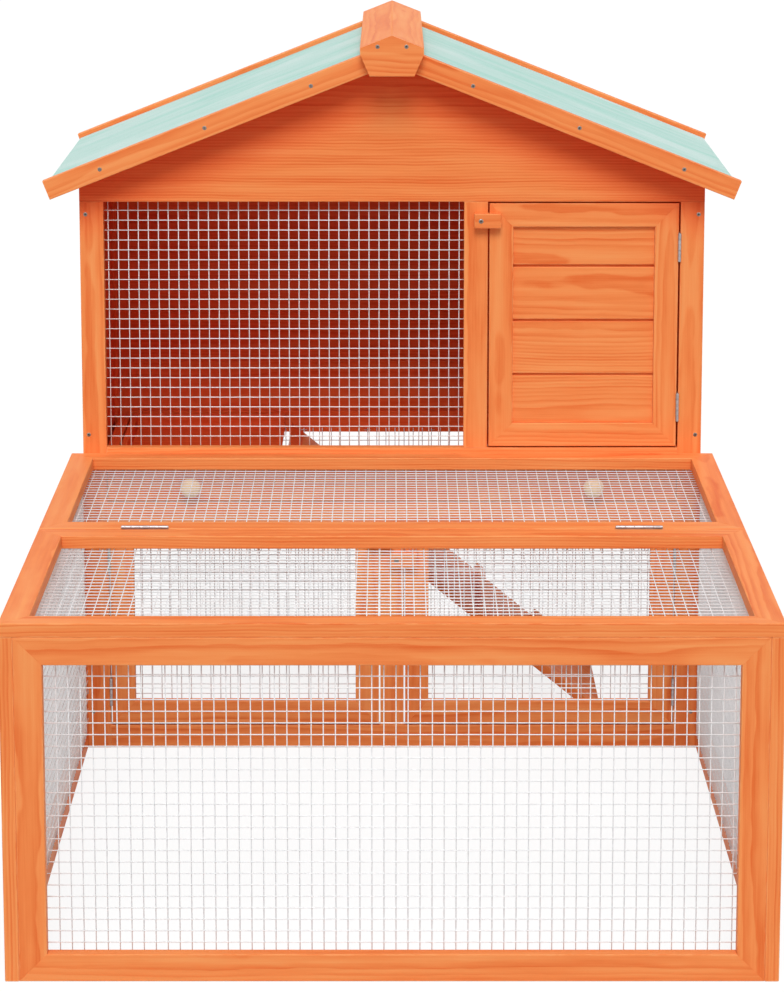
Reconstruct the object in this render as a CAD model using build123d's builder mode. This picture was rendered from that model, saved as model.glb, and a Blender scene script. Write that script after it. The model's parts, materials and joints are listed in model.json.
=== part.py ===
from build123d import *
import math
import os

# A wooden rabbit hutch: a two-storey house with a gabled roof, and a low wire run in front.
# Millimetres. Seen from the front, +X is to the right, +Y goes to the back and +Z is up.
# The origin is on the ground, under the middle of the whole hutch.

# Stock that the hutch is cut from
stock = 15.0  # thickness of every batten
rail = 30.0  # face width of every batten but the two beside the lid's hinges
hinge_rail = 33.0
cladding = 10.0  # thickness of the boards in walls, door and roof
board_cover = 70.0  # what shows of each shiplap board
play = 2.0  # gap round a door
hinge_gap = 2.2  # gap that holds the two leaves of a hinge

# House
house_width = 788.0
house_depth = 406.0
post_height = 715.0
lower_door_low = 32.0
lower_door_high = 295.0
tray_rail_low = 297.0  # rail that the tray's front stands over
sill_low = 368.0
middle_post_left = 91.0
side_rail_low = 303.0  # level rail in each side wall
back_rail_low = 333.0  # level rail in the back wall

# Run
run_width = house_width + 2 * stock
run_depth = 800.0
run_wall = 376.0
lid_depth = 403.0

# Roof, in the plane of the gable. Depths are square to the slope, down from the barge's top edge.
roof_width = 872.0
barge_peak = 919.0
roof_slope = 21.6
overhang = 39.0
barge = 25.0
felt_top = 6.0
felt = 2.0
roof_board_low = felt_top + felt + cladding
ridge_half = 40.0
ridge_plate_half = 39.5
ridge_plate_foot = 27.5
ridge_plate_low = 879.0

# Welded wire net
pitch = 12.7
wire = 1.2
lap = 6.0  # how far a net reaches behind its frame

# Turn buttons and their screws
button_length = 34.0
button_width = 18.5
button_thick = 12.0
button_end = 8.5  # from the screw to the near end
screw = 2.0
screw_play = 0.05
screw_proud = 0.8
upper_screw = (112.0, 692.0)
lower_left_screw = (-6.5, 278.0)
lower_right_screw = (5.8, 252.5)

# Derived places
half = house_width / 2
run_half = run_width / 2
total_depth = run_depth + house_depth + overhang + stock
front = -total_depth / 2
lid_joint = front + lid_depth
house = front + run_depth
back = house + house_depth
wall_near = house + stock
wall_far = back - stock
roof_front = house - overhang
roof_back = back + overhang
run_top = run_wall + stock
inner_half = half - stock
opening_half = half - rail
door_edge = opening_half - hinge_gap
middle_post_right = middle_post_left + rail
slope = math.radians(roof_slope)
barge_length = roof_width / 2 / math.cos(slope)

os.makedirs("parts", exist_ok=True)


def write(name, *pieces):
    """Writes one node. A node of several pieces keeps each as its own solid."""
    node = pieces[0] if len(pieces) == 1 else Compound(pieces)
    node.label = name
    export_step(node, f"parts/{name}.step")


def seen_from_front(y):
    """Plane with X to the right and Z up, whose normal points to the viewer."""
    return Plane.XZ.offset(-y)


def seen_from_right(x):
    """Plane with Y to the right and Z up, whose normal points along +X."""
    return Plane.YZ.offset(x)


def batten(plane, left, right, low, high, thick=stock):
    """A straight batten or board, given by its four sides on the plane."""
    with BuildPart() as piece:
        with BuildSketch(plane):
            with Locations(((left + right) / 2, (low + high) / 2)):
                Rectangle(right - left, high - low)
        extrude(amount=thick)
    return piece.part


def outline(plane, points, thick=stock):
    """A board cut to a straight-sided outline."""
    with BuildPart() as piece:
        with BuildSketch(plane):
            Polygon(*points, align=None)
        extrude(amount=thick)
    return piece.part


def mitred_frame(plane, left, right, low, high, low_rail=rail, high_rail=rail):
    """Four battens that meet in mitres."""
    outer = [(left, low), (right, low), (right, high), (left, high)]
    inner = [
        (left + rail, low + low_rail),
        (right - rail, low + low_rail),
        (right - rail, high - high_rail),
        (left + rail, high - high_rail),
    ]
    battens = []
    for i in range(4):
        j = (i + 1) % 4
        battens.append(outline(plane, [outer[i], outer[j], inner[j], inner[i]]))
    return battens


def wire_net(plane, left, right, low, high, first_across, first_up):
    """Welded net over an opening: upright wires on the plane, level wires welded over them.

    first_across and first_up are how far the first wires stand in from the opening's sides."""
    across = int((right - left - first_across) / pitch)
    up = int((high - low - first_up) / pitch)
    with BuildPart() as uprights:
        with BuildSketch(plane):
            with Locations((left + first_across + across * pitch / 2, (low + high) / 2)):
                with GridLocations(pitch, 0, across + 1, 1):
                    Rectangle(wire, high - low + 2 * lap)
        extrude(amount=wire)
    with BuildPart() as levels:
        with BuildSketch(plane.offset(wire)):
            with Locations(((left + right) / 2, low + first_up + up * pitch / 2)):
                with GridLocations(0, pitch, 1, up + 1):
                    Rectangle(right - left + 2 * lap, wire)
        extrude(amount=wire)
    return [*uprights.part.solids(), *levels.part.solids()]


# Shiplap boards: the groove at each joint has the lower board's lip behind it
groove = 3.0
groove_depth = 4.0


def shiplap(plane, left, right, edges):
    """Level boards, one over another. Their grooves are on the side the normal points to.

    edges: heights of the boards' edges, from the lowest up."""
    boards = []
    for low, high in zip(edges, edges[1:]):
        with BuildPart() as piece:
            with BuildSketch(plane):
                with Locations(((left + right) / 2, (low + high) / 2)):
                    Rectangle(right - left, high - low)
            extrude(amount=cladding)
            if high < edges[-1]:
                with BuildSketch(plane.offset(cladding)):
                    with Locations(((left + right) / 2, high - groove / 2)):
                        Rectangle(right - left, groove)
                extrude(amount=-groove_depth, mode=Mode.SUBTRACT)
        boards.append(piece.part)
    return boards


def board_edges(low, high):
    """Edges of boards that fill a wall from its low rail up, the top one cut to what is left."""
    count = round((high - low) / board_cover)
    return [low + i * board_cover for i in range(count)] + [high]


# Run: front panel between two side panels, which lap over the edges of the house's front posts
write(
    "run_front_frame",
    *mitred_frame(seen_from_front(front + stock), -half, half, 0, run_wall),
)
write(
    "run_front_net",
    *wire_net(
        seen_from_front(front + stock + 2 * wire),
        -opening_half,
        opening_half,
        rail,
        run_wall - rail,
        12.6,
        7.8,
    ),
)
side_end = house + stock
for name, frame_x, net_x in (
    ("left", -run_half, -half),
    ("right", half, half - 2 * wire),
):
    write(
        f"run_{name}_frame",
        *mitred_frame(seen_from_right(frame_x), front, side_end, 0, run_wall),
    )
    write(
        f"run_{name}_net",
        *wire_net(
            seen_from_right(net_x),
            front + rail,
            side_end - rail,
            rail,
            run_wall - rail,
            7.0,
            12.0,
        ),
    )

# Top of the run: a hinged lid in front and a fixed frame behind it, nets on their undersides
top_plane = Plane.XY.offset(run_wall)
top_net_plane = Plane.XY.offset(run_wall - 2 * wire)
lid_back = lid_joint - hinge_gap / 2
rear_top_front = lid_joint + hinge_gap / 2
write(
    "lid_frame",
    *mitred_frame(top_plane, -run_half, run_half, front, lid_back, high_rail=hinge_rail),
)
write(
    "rear_top_frame",
    *mitred_frame(
        top_plane, -run_half, run_half, rear_top_front, house, low_rail=hinge_rail
    ),
)
write(
    "lid_net",
    *wire_net(
        top_net_plane,
        -run_half + rail,
        run_half - rail,
        front + rail,
        lid_back - hinge_rail,
        9.1,
        0.4,
    ),
)
write(
    "rear_top_net",
    *wire_net(
        top_net_plane,
        -run_half + rail,
        run_half - rail,
        rear_top_front + hinge_rail,
        house - rail,
        2.9,
        9.7,
    ),
)

# House front, all in one plane: posts, rails and the gable board
front_plane = seen_from_front(wall_near)
write(
    "front_corner_posts",
    batten(front_plane, -half, -opening_half, 0, post_height),
    batten(front_plane, opening_half, half, 0, post_height),
)
write("front_bottom_rail", batten(front_plane, -opening_half, opening_half, 0, rail))
write(
    "tray_rail",
    batten(front_plane, -opening_half, opening_half, tray_rail_low, tray_rail_low + rail),
)
write(
    "sill_rail",
    batten(front_plane, -opening_half, opening_half, sill_low, sill_low + rail),
)
write("mullion", batten(front_plane, -rail / 2, rail / 2, rail, tray_rail_low))
write(
    "middle_post",
    batten(front_plane, middle_post_left, middle_post_right, sill_low + rail, post_height),
)
write(
    "window_net",
    *wire_net(
        seen_from_front(wall_near + 2 * wire),
        -opening_half,
        middle_post_left,
        sill_low + rail,
        post_height,
        4.6,
        11.8,
    ),
)


def under_slope(x, depth):
    """Height at x of a layer of the roof, depth being square to the slope."""
    return barge_peak - abs(x) * math.tan(slope) - depth / math.cos(slope)


gable_points = [
    (-half, post_height),
    (half, post_height),
    (half, under_slope(half, roof_board_low)),
    (0, under_slope(0, roof_board_low)),
    (-half, under_slope(half, roof_board_low)),
]
write("front_gable_board", outline(front_plane, gable_points))

# Side walls between the front and back panels: boards above, net below
plate_low = post_height - rail
near, far = wall_near + rail, wall_far - rail
for name, side, net_x in (
    ("left", -1, -inner_half),
    ("right", 1, inner_half - 2 * wire),
):
    wall_plane = seen_from_right(min(side * half, side * inner_half))
    plate = [
        (side * half, plate_low),
        (side * inner_half, plate_low),
        (side * inner_half, under_slope(inner_half, roof_board_low)),
        (side * half, under_slope(half, roof_board_low)),
    ]
    write(
        f"{name}_wall_frame",
        batten(wall_plane, wall_near, near, 0, plate_low),
        batten(wall_plane, far, wall_far, 0, plate_low),
        batten(wall_plane, near, far, 0, rail),
        batten(wall_plane, near, far, side_rail_low, side_rail_low + rail),
        outline(seen_from_front(wall_far), plate, wall_far - wall_near),
    )
    outward = Plane(
        (side * (half - cladding), 0, 0), x_dir=(0, side, 0), z_dir=(side, 0, 0)
    )
    write(
        f"{name}_wall_boards",
        *shiplap(
            outward, side * near, side * far, board_edges(side_rail_low + rail, plate_low)
        ),
    )
    write(
        f"{name}_wall_net",
        *wire_net(seen_from_right(net_x), near, far, rail, side_rail_low, 12.0, 9.5),
    )

# Back panel: boards down to the tray's level, net below them
back_plane = seen_from_front(back)
write(
    "back_frame",
    batten(back_plane, -half, -opening_half, 0, post_height),
    batten(back_plane, opening_half, half, 0, post_height),
    batten(back_plane, -opening_half, opening_half, 0, rail),
    batten(back_plane, -opening_half, opening_half, back_rail_low, back_rail_low + rail),
)
backward = Plane((0, back - cladding, 0), x_dir=(-1, 0, 0), z_dir=(0, 1, 0))
write(
    "back_boards",
    *shiplap(
        backward, -opening_half, opening_half, board_edges(back_rail_low + rail, post_height)
    ),
)
write("back_gable_board", outline(back_plane, gable_points))
write(
    "back_net",
    *wire_net(
        seen_from_front(wall_far),
        -opening_half,
        opening_half,
        rail,
        back_rail_low,
        12.6,
        12.0,
    ),
)

# Upper door: mitred frame round four shiplap boards, which are set back from its face
upper_left = middle_post_right + play
upper_low = sill_low + rail + play
upper_high = post_height - play
board_joints = [494.0, 564.0, 634.0]
write(
    "upper_door_frame",
    *mitred_frame(front_plane, upper_left, door_edge, upper_low, upper_high),
)
write(
    "upper_door_boards",
    *shiplap(
        front_plane,
        upper_left + rail,
        door_edge - rail,
        [upper_low + rail, *board_joints, upper_high - rail],
    ),
)

# Lower doors: a pair of mitred frames with nets, one each side of the mullion
for name, left, right in (
    ("lower_left_door", -door_edge, -rail / 2 - play),
    ("lower_right_door", rail / 2 + play, door_edge),
):
    write(
        f"{name}_frame",
        *mitred_frame(front_plane, left, right, lower_door_low, lower_door_high),
    )
    write(
        f"{name}_net",
        *wire_net(
            seen_from_front(wall_near + 2 * wire),
            left + rail,
            right - rail,
            lower_door_low + rail,
            lower_door_high - rail,
            8.0,
            6.0,
        ),
    )

# Hinges: a leaf in the gap on each side. Each leaf has half of the barrel, which stands proud.
barrel = 2.0  # radius
barrel_play = 0.4
leaf = 1.0
leaf_depth = 13.0
lid_hinge_length = 54.0
door_hinge_length = 36.0
lid_hinge_x = 286.0
upper_hinge_heights = (451.0, 657.0)
lower_hinge_heights = (75.0, 252.0)


def hinge_leaf(pivot, length, side):
    """One leaf with its half of the barrel. side: -1 fixed, 1 moving.

    pivot: a plane at the barrel's middle, its x into the gap and its z along the barrel."""
    reach = barrel + barrel_play
    middle = side * (hinge_gap - leaf) / 2
    with BuildPart() as plate:
        with BuildSketch(pivot.offset(-length / 2)):
            with Locations(((reach + leaf_depth) / 2, middle)):
                Rectangle(leaf_depth - reach, leaf)
        extrude(amount=length)
        with BuildSketch(pivot.offset(side * barrel_play / 2)):
            Circle(barrel)
            with Locations((reach / 2, middle)):
                Rectangle(reach, leaf)
        extrude(amount=side * (length - barrel_play) / 2)
    return plate.part


fixed_leaves = []


def fit_hinges(name, pivots, length):
    """The hinges of one door or lid. Their moving leaves are a node of their own."""
    fixed_leaves.extend(hinge_leaf(pivot, length, -1) for pivot in pivots)
    write(name, *[hinge_leaf(pivot, length, 1) for pivot in pivots])


hinge_x = opening_half - hinge_gap / 2
hinge_y = house - barrel
fit_hinges(
    "lid_hinge_leaves",
    [
        Plane((x, lid_joint, run_top + barrel), x_dir=(0, 0, -1), z_dir=(-1, 0, 0))
        for x in (-lid_hinge_x, lid_hinge_x)
    ],
    lid_hinge_length,
)
for name, side, heights in (
    ("upper_door", 1, upper_hinge_heights),
    ("lower_left_door", -1, lower_hinge_heights),
    ("lower_right_door", 1, lower_hinge_heights),
):
    fit_hinges(
        f"{name}_hinge_leaves",
        [
            Plane((side * hinge_x, hinge_y, z), x_dir=(0, 1, 0), z_dir=(0, 0, side))
            for z in heights
        ],
        door_hinge_length,
    )
write("fixed_hinge_leaves", *fixed_leaves)

# Tray: slides forward on two runners, and is cut out at the back for the ramp
slack = 1.0
tray_low = tray_rail_low + rail + slack
tray_half = opening_half - 2 * slack
tray_wall = 8.0
tray_wall_high = 360.0
tray_floor_low = 334.0
tray_floor = 6.0
tray_back = wall_far - 3.0
notch_left = -150.0
notch_right = 130.0
ramp_near = house + 168.0
notch_front = ramp_near - 10.0
ledge = 12.0  # of the runner, under the tray's wall
runner_points = [
    (inner_half, tray_low - stock),
    (opening_half - ledge, tray_low - stock),
    (opening_half - ledge, tray_low),
    (opening_half, tray_low),
    (opening_half, tray_wall_high),
    (inner_half, tray_wall_high),
]
write(
    "tray_runners",
    *[
        outline(
            seen_from_front(tray_back),
            [(side * x, z) for x, z in runner_points],
            tray_back - wall_near,
        )
        for side in (-1, 1)
    ],
)
write(
    "tray_front",
    batten(
        front_plane, slack - opening_half, opening_half - slack, tray_low, sill_low - play
    ),
)
floor_half = tray_half - tray_wall
floor_back = tray_back - tray_wall
write(
    "tray_floor",
    outline(
        Plane.XY.offset(tray_floor_low),
        [
            (-floor_half, wall_near),
            (floor_half, wall_near),
            (floor_half, floor_back),
            (notch_right, floor_back),
            (notch_right, notch_front),
            (notch_left, notch_front),
            (notch_left, floor_back),
            (-floor_half, floor_back),
        ],
        tray_floor,
    ),
)
tray_plane = Plane.XY.offset(tray_low)
wall_high = tray_wall_high - tray_low
write(
    "tray_walls",
    batten(tray_plane, -tray_half, -floor_half, wall_near, tray_back, wall_high),
    batten(tray_plane, floor_half, tray_half, wall_near, tray_back, wall_high),
    batten(tray_plane, -floor_half, notch_left, floor_back, tray_back, wall_high),
    batten(tray_plane, notch_right, floor_half, floor_back, tray_back, wall_high),
)

# Turned knobs on the tray's front. Their profile runs out from the face, along x.
knob_x = 257.0
knob_z = 348.0
knob_profile = [(0, 0), (0, 6.5), (8, 13), (14, 12.5), (21, 6), (21, 0)]
knobs = []
for x in (-knob_x, knob_x):
    base = Plane((x, house, knob_z), x_dir=(0, -1, 0), z_dir=(-1, 0, 0))
    with BuildPart() as knob:
        with BuildSketch(base):
            Polygon(*knob_profile, align=None)
        revolve(axis=Axis(base.origin, base.x_dir))
    knobs.append(knob.part)
write("tray_knobs", *knobs)

# Turn buttons: slats on a screw, one end over the edge of a door. way: 1 points right, -1 left.
screws = []
for name, (x, z), way in (
    ("upper_turn_button", upper_screw, 1),
    ("lower_left_turn_button", lower_left_screw, -1),
    ("lower_right_turn_button", lower_right_screw, 1),
):
    with BuildPart() as button:
        with BuildSketch(seen_from_front(house)):
            with Locations((x + way * (button_length / 2 - button_end), z)):
                Rectangle(button_length, button_width)
            with Locations((x, z)):
                Circle(screw + screw_play, mode=Mode.SUBTRACT)
        extrude(amount=button_thick)
    write(name, button.part)
    with BuildPart() as turning_screw:
        with BuildSketch(seen_from_front(house)):
            with Locations((x, z)):
                Circle(screw)
        extrude(amount=button_thick + screw_proud)
    screws.append(turning_screw.part)
write("turn_button_screws", *screws)

# Ramp along the back wall, from the ground on the right up through the tray's cut-out
ramp_foot = 281.0
ramp_slope = math.radians(39.5)
ramp_board = 12.0
ramp_top_x = -140.0
ramp_back = wall_far - 3.0
ramp_width = ramp_back - ramp_near
cleat_spacing = 105.0
cleat_high = 10.0
cleat_wide = 14.0
cleat_count = 4


def on_ramp(along, out):
    """A point of the ramp's front view, along its slope from the foot and out of its top face."""
    return (
        ramp_foot - along * math.cos(ramp_slope) + out * math.sin(ramp_slope),
        along * math.sin(ramp_slope) + out * math.cos(ramp_slope),
    )


ramp_top = on_ramp((ramp_foot - ramp_top_x) / math.cos(ramp_slope), 0)
write(
    "ramp_board",
    outline(
        seen_from_front(ramp_back),
        [
            (ramp_foot, 0),
            ramp_top,
            (ramp_top[0], ramp_top[1] - ramp_board / math.cos(ramp_slope)),
            (ramp_foot - ramp_board / math.sin(ramp_slope), 0),
        ],
        ramp_width,
    ),
)
cleats = []
for i in range(cleat_count):
    low = (i + 1) * cleat_spacing - cleat_wide / 2
    high = low + cleat_wide
    corners = [
        on_ramp(low, 0),
        on_ramp(high, 0),
        on_ramp(high, cleat_high),
        on_ramp(low, cleat_high),
    ]
    cleats.append(outline(seen_from_front(ramp_back), corners, ramp_width))
write("ramp_cleats", *cleats)


# Roof
def on_slope(along, depth, side):
    """A point of the gable's view, along the slope from the peak. side: -1 left, 1 right."""
    x = along * math.cos(slope) - depth * math.sin(slope)
    z = barge_peak - along * math.sin(slope) - depth * math.cos(slope)
    return (side * x, z)


def roof_layer(far_y, thick, side, length, high, low):
    """A layer of one slope, mitred at the peak and cut square at the eave."""
    points = [
        (0, under_slope(0, high)),
        on_slope(length, high, side),
        on_slope(length, low, side),
        (0, under_slope(0, low)),
    ]
    return outline(seen_from_front(far_y), points, thick)


near_barge = roof_front + stock
far_barge = roof_back - stock
felt_gap = 2.5  # between the felt and each barge board
eave = barge_length - 2.0
for name, side in (("left", -1), ("right", 1)):
    write(
        f"{name}_roof_boards",
        roof_layer(
            far_barge, far_barge - near_barge, side, eave, felt_top + felt, roof_board_low
        ),
    )
    write(
        f"{name}_roof_felt",
        roof_layer(
            far_barge - felt_gap,
            far_barge - near_barge - 2 * felt_gap,
            side,
            eave,
            felt_top,
            felt_top + felt,
        ),
    )
for name, far_y in (("front_barge_boards", near_barge), ("back_barge_boards", roof_back)):
    write(
        name,
        *[roof_layer(far_y, stock, side, barge_length, 0, barge) for side in (-1, 1)],
    )
ridge_length = (ridge_half - cladding * math.sin(slope)) / math.cos(slope)
write(
    "ridge_boards",
    *[
        roof_layer(roof_back, roof_back - roof_front, side, ridge_length, -cladding, 0)
        for side in (-1, 1)
    ],
)
shoulder = under_slope(ridge_plate_half, -cladding)
plate_points = [
    (0, under_slope(0, -cladding)),
    (ridge_plate_half, shoulder),
    (ridge_plate_half, shoulder - 8.0),
    (ridge_plate_foot, ridge_plate_low),
]
plate_points += [(-x, z) for x, z in reversed(plate_points[1:])]
write(
    "ridge_end_plates",
    outline(seen_from_front(roof_front), plate_points),
    outline(seen_from_front(roof_back + stock), plate_points),
)
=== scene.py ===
import json
import math
import random

import bmesh
import bpy
from bpy.props import FloatProperty, FloatVectorProperty, IntProperty, PointerProperty
from mathutils import Matrix, Vector

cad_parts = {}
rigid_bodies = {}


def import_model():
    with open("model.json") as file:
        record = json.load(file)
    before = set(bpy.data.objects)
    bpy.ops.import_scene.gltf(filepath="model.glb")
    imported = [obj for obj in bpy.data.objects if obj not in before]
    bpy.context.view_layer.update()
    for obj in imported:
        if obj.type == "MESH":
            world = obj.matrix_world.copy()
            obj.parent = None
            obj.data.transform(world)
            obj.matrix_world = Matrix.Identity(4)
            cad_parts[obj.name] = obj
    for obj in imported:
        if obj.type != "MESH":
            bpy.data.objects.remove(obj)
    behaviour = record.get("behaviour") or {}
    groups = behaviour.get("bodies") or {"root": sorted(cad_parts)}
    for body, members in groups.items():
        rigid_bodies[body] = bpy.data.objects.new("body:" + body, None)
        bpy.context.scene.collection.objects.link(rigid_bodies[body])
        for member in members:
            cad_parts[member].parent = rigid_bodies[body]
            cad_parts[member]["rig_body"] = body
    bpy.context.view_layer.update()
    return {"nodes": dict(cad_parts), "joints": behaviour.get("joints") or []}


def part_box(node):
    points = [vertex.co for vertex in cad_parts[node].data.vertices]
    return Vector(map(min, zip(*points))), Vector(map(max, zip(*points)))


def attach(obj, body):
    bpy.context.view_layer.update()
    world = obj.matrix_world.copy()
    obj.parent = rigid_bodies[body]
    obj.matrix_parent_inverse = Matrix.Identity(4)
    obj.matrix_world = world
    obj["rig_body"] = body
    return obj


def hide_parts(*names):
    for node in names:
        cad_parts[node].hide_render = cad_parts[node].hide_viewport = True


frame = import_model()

bl_info = {
    "name": "Rabbit hutch",
    "version": (1, 0, 0),
    "blender": (4, 5, 0),
    "location": "3D View > Sidebar > Hutch",
    "description": "Boards, nets, hinges and roof of a two-storey rabbit hutch with a run",
    "category": "Add Mesh",
}

# Everything is in metres. +X is to the right, +Y goes to the back and +Z is up.
nodes = frame["nodes"]
joints = {joint["name"]: joint for joint in frame["joints"]}
# The back ridge plate is this much thinner, so that its screws stay inside the hutch's size
RIDGE_TRIM = 0.0003
ROOF_SLOPE = math.radians(21.6)
# Steps that tell one face of a board from the other, well within the boards' thickness
HAIR = 0.001
CLEAR = 0.002


def colour_property(name, description, default):
    """A colour that a user picks as it looks on the screen."""
    return FloatVectorProperty(
        name=name,
        description=description,
        default=default,
        size=3,
        min=0.0,
        max=1.0,
        subtype="COLOR_GAMMA",
    )


def length_property(name, description, default):
    return FloatProperty(
        name=name, description=description, default=default, min=0.0, unit="LENGTH", precision=5
    )


def share_property(name, description, default):
    return FloatProperty(
        name=name, description=description, default=default, min=0.0, max=1.0, subtype="FACTOR"
    )


# Sizes and colours that a user would change


class HutchTimber(bpy.types.PropertyGroup):
    """Boards and battens"""

    arris: length_property("Arris", "Width of the rounded long edges of a board", 0.0009)
    end_arris: length_property("End arris", "Width of the edges at a board's sawn ends", 0.0002)
    ring: length_property("Growth ring", "Distance between two growth rings", 0.0034)
    wander: length_property("Wander", "How far the rings stray along a board", 0.011)
    stain_deep: colour_property("Deep stain", "Late wood under the stain", (0.905, 0.425, 0.195))
    stain_mid: colour_property("Stain", "Most of a stained board", (0.962, 0.562, 0.312))
    stain_light: colour_property("Light stain", "Early wood", (0.980, 0.655, 0.400))
    rubbed: colour_property("Rubbed edge", "Stain worn thin on an arris", (0.985, 0.690, 0.450))
    # This tint paints shade: it darkens and reddens the stain inside the house and right under its
    # eaves
    painted_shade_tint: colour_property("Painted shade tint", "Painted shade inside the house and under its eaves", (1.0, 0.735, 0.700))
    pale: colour_property("Pale wood", "Bare turned wood", (0.960, 0.840, 0.660))
    pale_late: colour_property("Pale late wood", "Rings of the turned wood", (0.900, 0.735, 0.520))
    stain_rough: share_property("Roughness", "Roughness of the stained surface", 0.52)


class HutchMetal(bpy.types.PropertyGroup):
    """Nets, hinges, screws and staples"""

    zinc: colour_property("Zinc", "Galvanised wire", (0.972, 0.976, 0.980))
    zinc_dull: colour_property("Dull zinc", "Duller grains of the zinc", (0.890, 0.896, 0.903))
    plate: colour_property("Plate", "Zinc of hinges and staples", (0.760, 0.750, 0.760))
    plate_dull: colour_property("Dull plate", "Duller grains of the hinges", (0.600, 0.590, 0.600))
    screw_colour: colour_property("Screws", "Screw heads", (0.640, 0.600, 0.570))
    wire_sides: IntProperty(name="Wire sides", description="Sides of a wire", default=8, min=5)
    weld_sink: length_property("Weld", "How far welded wires sink into each other", 0.00024)
    staple_gap: IntProperty(
        name="Staple gap", description="Wires from one staple to the next", default=7, min=1
    )
    screw_radius: length_property("Screw head", "Radius of a screw's head", 0.0026)


class HutchRoof(bpy.types.PropertyGroup):
    """Mineral felt"""

    felt: colour_property("Felt", "Most of the felt", (0.770, 0.885, 0.858))
    felt_green: colour_property("Green streaks", "Greener streaks", (0.700, 0.865, 0.825))
    felt_pale: colour_property("Pale streaks", "Paler streaks of the felt", (0.830, 0.910, 0.892))
    grain: colour_property("Dark grains", "Darker mineral grains", (0.45, 0.62, 0.58))
    grit: length_property("Grit", "Size of the mineral grains", 0.0011)


class HutchStage(bpy.types.PropertyGroup):
    """Floor, light and camera"""

    floor: colour_property("Floor", "Colour of the floor", (0.800, 0.800, 0.800))
    floor_lift: share_property("Floor lift", "How much of the floor shows as plain white", 0.86)
    sky_top: FloatProperty(name="Sky above", description="Light from overhead", default=0.62)
    sky_side: FloatProperty(name="Sky at the sides", description="Level light", default=0.45)
    lamp: FloatProperty(name="Lamp", description="Strength of the lamp", default=1.94)
    lamp_height: FloatProperty(
        name="Lamp height",
        description="How high the lamp stands over the floor's plane, seen from the house",
        default=math.radians(46.0),
        subtype="ANGLE",
    )
    camera_y: FloatProperty(
        name="Camera Y", description="Camera's place in depth", default=-3.9154, unit="LENGTH"
    )
    camera_z: FloatProperty(
        name="Camera Z", description="Camera's height", default=1.3151, unit="LENGTH"
    )
    camera_pitch: FloatProperty(
        name="Camera pitch",
        description="How far the camera looks down",
        default=math.radians(10.030),
        subtype="ANGLE",
    )
    camera_lens: FloatProperty(
        name="Lens", description="Focal length", default=118.954, unit="CAMERA"
    )


# Shader nodes


def to_linear(colour):
    """A colour as seen on the screen, as the linear colour with alpha that nodes take."""
    parts = [c / 12.92 if c <= 0.04045 else ((c + 0.055) / 1.055) ** 2.4 for c in colour]
    return (*parts, 1.0)


def node(tree, kind, inputs=None, **settings):
    """A new node. inputs: its sockets' values, or the sockets that feed them."""
    made = tree.nodes.new(kind)
    for name, value in settings.items():
        setattr(made, name, value)
    for key, value in (inputs or {}).items():
        if isinstance(value, bpy.types.NodeSocket):
            tree.links.new(value, made.inputs[key])
        else:
            made.inputs[key].default_value = value
    return made


def calculate(tree, operation, *values):
    inputs = dict(enumerate(values))
    return node(tree, "ShaderNodeMath", inputs, operation=operation).outputs[0]


def vector(tree, operation, *values):
    inputs = dict(enumerate(values))
    return node(tree, "ShaderNodeVectorMath", inputs, operation=operation).outputs[0]


def attribute(tree, name):
    return node(tree, "ShaderNodeAttribute", attribute_name=name).outputs["Vector"]


def noise(tree, place, scale, detail=2.0, roughness=0.5):
    """Noise from 0 to 1. scale: cells in a metre along x, y and z."""
    scaled = vector(tree, "MULTIPLY", place, scale)
    inputs = {"Vector": scaled, "Scale": 1.0, "Detail": detail, "Roughness": roughness}
    return node(tree, "ShaderNodeTexNoise", inputs).outputs["Fac"]


def spread(tree, value, low, high, to_low=0.0, to_high=1.0, smooth=True):
    """The value's range from low to high, spread from to_low to to_high."""
    inputs = {0: value, 1: low, 2: high, 3: to_low, 4: to_high}
    kind = "SMOOTHSTEP" if smooth else "LINEAR"
    return node(tree, "ShaderNodeMapRange", inputs, interpolation_type=kind).outputs[0]


def blend_colours(tree, factor, first, second, blend="MIX"):
    inputs = {0: factor, 6: first, 7: second}
    return node(tree, "ShaderNodeMix", inputs, data_type="RGBA", blend_type=blend).outputs[2]


def new_group(name, inputs, outputs):
    """A shader node group with named number sockets: its tree, what it is given, what it gives."""
    tree = bpy.data.node_groups.new(name, "ShaderNodeTree")
    for label, default in inputs:
        socket = tree.interface.new_socket(label, in_out="INPUT", socket_type="NodeSocketFloat")
        socket.default_value = default
    for label in outputs:
        tree.interface.new_socket(label, in_out="OUTPUT", socket_type="NodeSocketFloat")
    return tree, tree.nodes.new("NodeGroupInput").outputs, tree.nodes.new("NodeGroupOutput").inputs


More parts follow.
